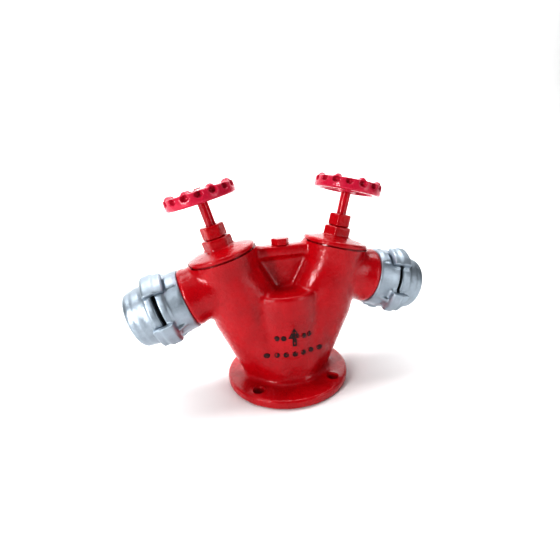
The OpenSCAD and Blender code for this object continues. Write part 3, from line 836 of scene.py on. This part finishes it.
class HYDRANT_OT_stage(bpy.types.Operator):
    """Add the pale floor, the soft lights and the camera"""

    bl_idname = "hydrant.stage"
    bl_label = "Stage"

    def execute(self, context):
        stage = context.scene.hydrant_stage
        clear_selection()
        bpy.ops.mesh.primitive_plane_add(size=FLOOR_SIZE, location=(0, FLOOR_SHIFT, 0))
        floor = context.object
        floor.name = "Floor"
        bpy.ops.object.mode_set(mode="EDIT")
        bpy.ops.mesh.select_mode(type="EDGE")
        bpy.ops.mesh.select_all(action="DESELECT")
        bpy.ops.object.mode_set(mode="OBJECT")
        for edge in floor.data.edges:
            edge.select = all(floor.data.vertices[i].co.y > FLOOR_EDGE for i in edge.vertices)
        bpy.ops.object.mode_set(mode="EDIT")
        bpy.ops.mesh.extrude_region_move(TRANSFORM_OT_translate={"value": (0, 0, SWEEP_RISE)})
        bpy.ops.mesh.select_all(action="DESELECT")
        bpy.ops.object.mode_set(mode="OBJECT")
        for edge in floor.data.edges:
            ends = [floor.data.vertices[i].co for i in edge.vertices]
            edge.select = all(end.y > FLOOR_EDGE and abs(end.z) < 0.01 for end in ends)
        bpy.ops.object.mode_set(mode="EDIT")
        bpy.ops.mesh.bevel(offset=SWEEP_RADIUS, segments=16)
        bpy.ops.object.mode_set(mode="OBJECT")
        crisp(floor, 30)
        r = Recipe("Pale Floor")
        r.set(Specular_IOR_Level=0.1)
        pale_floor = tuple(stage.floor_color)
        tone = r.ramp(r.noise(3.0, 2.0), [(0.3, shade(pale_floor, 0.98)), (0.7, pale_floor)])
        floor.data.materials.append(r.finish(tone, r.spread(r.noise(8.0), 0.6, 0.7)))
        context.scene.view_settings.view_transform = "Standard"
        context.scene.view_settings.look = "High Contrast"
        world = bpy.data.worlds.new("Pale Surround")
        context.scene.world = world
        world.use_nodes = True
        tree = world.node_tree
        glow = tree.nodes["Background"]
        glow.inputs["Color"].default_value = SURROUND
        glow.inputs["Strength"].default_value = stage.world_strength
        pale = tree.nodes.new("ShaderNodeBackground")
        pale.inputs["Color"].default_value = SURROUND
        pale.inputs["Strength"].default_value = stage.world_view
        path = tree.nodes.new("ShaderNodeLightPath")
        mix = tree.nodes.new("ShaderNodeMixShader")
        tree.links.new(path.outputs["Is Camera Ray"], mix.inputs["Fac"])
        tree.links.new(glow.outputs["Background"], mix.inputs[1])
        tree.links.new(pale.outputs["Background"], mix.inputs[2])
        tree.links.new(mix.outputs["Shader"], tree.nodes["World Output"].inputs["Surface"])
        aim = (0, 0, 0.16)
        area_light("Key Light", (-1.05, -0.75, 0.5), (0.05, 0, 0.2), (0.1, 0.8), stage.key_power)
        area_light("Top Light", (-0.25, -0.15, 1.5), aim, (1.4, 1.4), stage.top_power)
        area_light("Fill Light", (1.0, -1.1, 0.5), aim, (0.5, 0.9), stage.fill_power)
        area_light("Backdrop Light", (0, 0.8, 3.2), (0, 3.0, 1.4), (7.0, 2.0), stage.backdrop_power)
        yaw, pitch, roll = (math.radians(turn) for turn in (CAMERA_YAW, CAMERA_PITCH, CAMERA_ROLL))
        ahead = Vector((math.sin(-yaw) * math.cos(pitch), math.cos(yaw) * math.cos(pitch), math.sin(pitch)))
        right = Vector((math.cos(yaw), math.sin(yaw), 0))
        up = right.cross(ahead)
        across = math.cos(roll) * right + math.sin(roll) * up
        above = -math.sin(roll) * right + math.cos(roll) * up
        bpy.ops.object.camera_add()
        camera = context.object
        camera.name = "Camera"
        camera.matrix_world = Matrix(
            (
                (across.x, above.x, -ahead.x, CAMERA_PLACE[0]),
                (across.y, above.y, -ahead.y, CAMERA_PLACE[1]),
                (across.z, above.z, -ahead.z, CAMERA_PLACE[2]),
                (0, 0, 0, 1),
            )
        )
        camera.data.sensor_width = 36.0
        camera.data.lens = stage.lens
        context.scene.camera = camera
        return {"FINISHED"}


# ---------------------------------------------------------------- panel

PIECES = (
    HYDRANT_OT_casting,
    HYDRANT_OT_marks,
    HYDRANT_OT_bonnets,
    HYDRANT_OT_handwheels,
    HYDRANT_OT_couplings,
    HYDRANT_OT_caps,
    HYDRANT_OT_fittings,
    HYDRANT_OT_stage,
)


class HYDRANT_PT_panel(bpy.types.Panel):
    """Sizes, finishes and pieces of the hydrant head"""

    bl_idname = "HYDRANT_PT_panel"
    bl_label = "Hydrant Head"
    bl_space_type = "VIEW_3D"
    bl_region_type = "UI"
    bl_category = "Hydrant"

    def draw(self, context):
        layout = self.layout
        scene = context.scene
        for group in (scene.hydrant_casting, scene.hydrant_finishes, scene.hydrant_stage):
            box = layout.box()
            for key in group.__annotations__:
                box.prop(group, key)
        for piece in PIECES:
            layout.operator(piece.bl_idname)


CLASSES = (HydrantCasting, HydrantFinishes, HydrantStage, *PIECES, HYDRANT_PT_panel)


def register():
    for cls in CLASSES:
        bpy.utils.register_class(cls)
    bpy.types.Scene.hydrant_casting = PointerProperty(type=HydrantCasting)
    bpy.types.Scene.hydrant_finishes = PointerProperty(type=HydrantFinishes)
    bpy.types.Scene.hydrant_stage = PointerProperty(type=HydrantStage)


def unregister():
    del bpy.types.Scene.hydrant_stage
    del bpy.types.Scene.hydrant_finishes
    del bpy.types.Scene.hydrant_casting
    for cls in reversed(CLASSES):
        bpy.utils.unregister_class(cls)


def main():
    register()
    bpy.ops.hydrant.casting()
    bpy.ops.hydrant.marks()
    bpy.ops.hydrant.bonnets()
    bpy.ops.hydrant.handwheels()
    bpy.ops.hydrant.couplings()
    bpy.ops.hydrant.caps()
    bpy.ops.hydrant.fittings()
    bpy.ops.hydrant.stage()


if __name__ == "__main__":
    main()
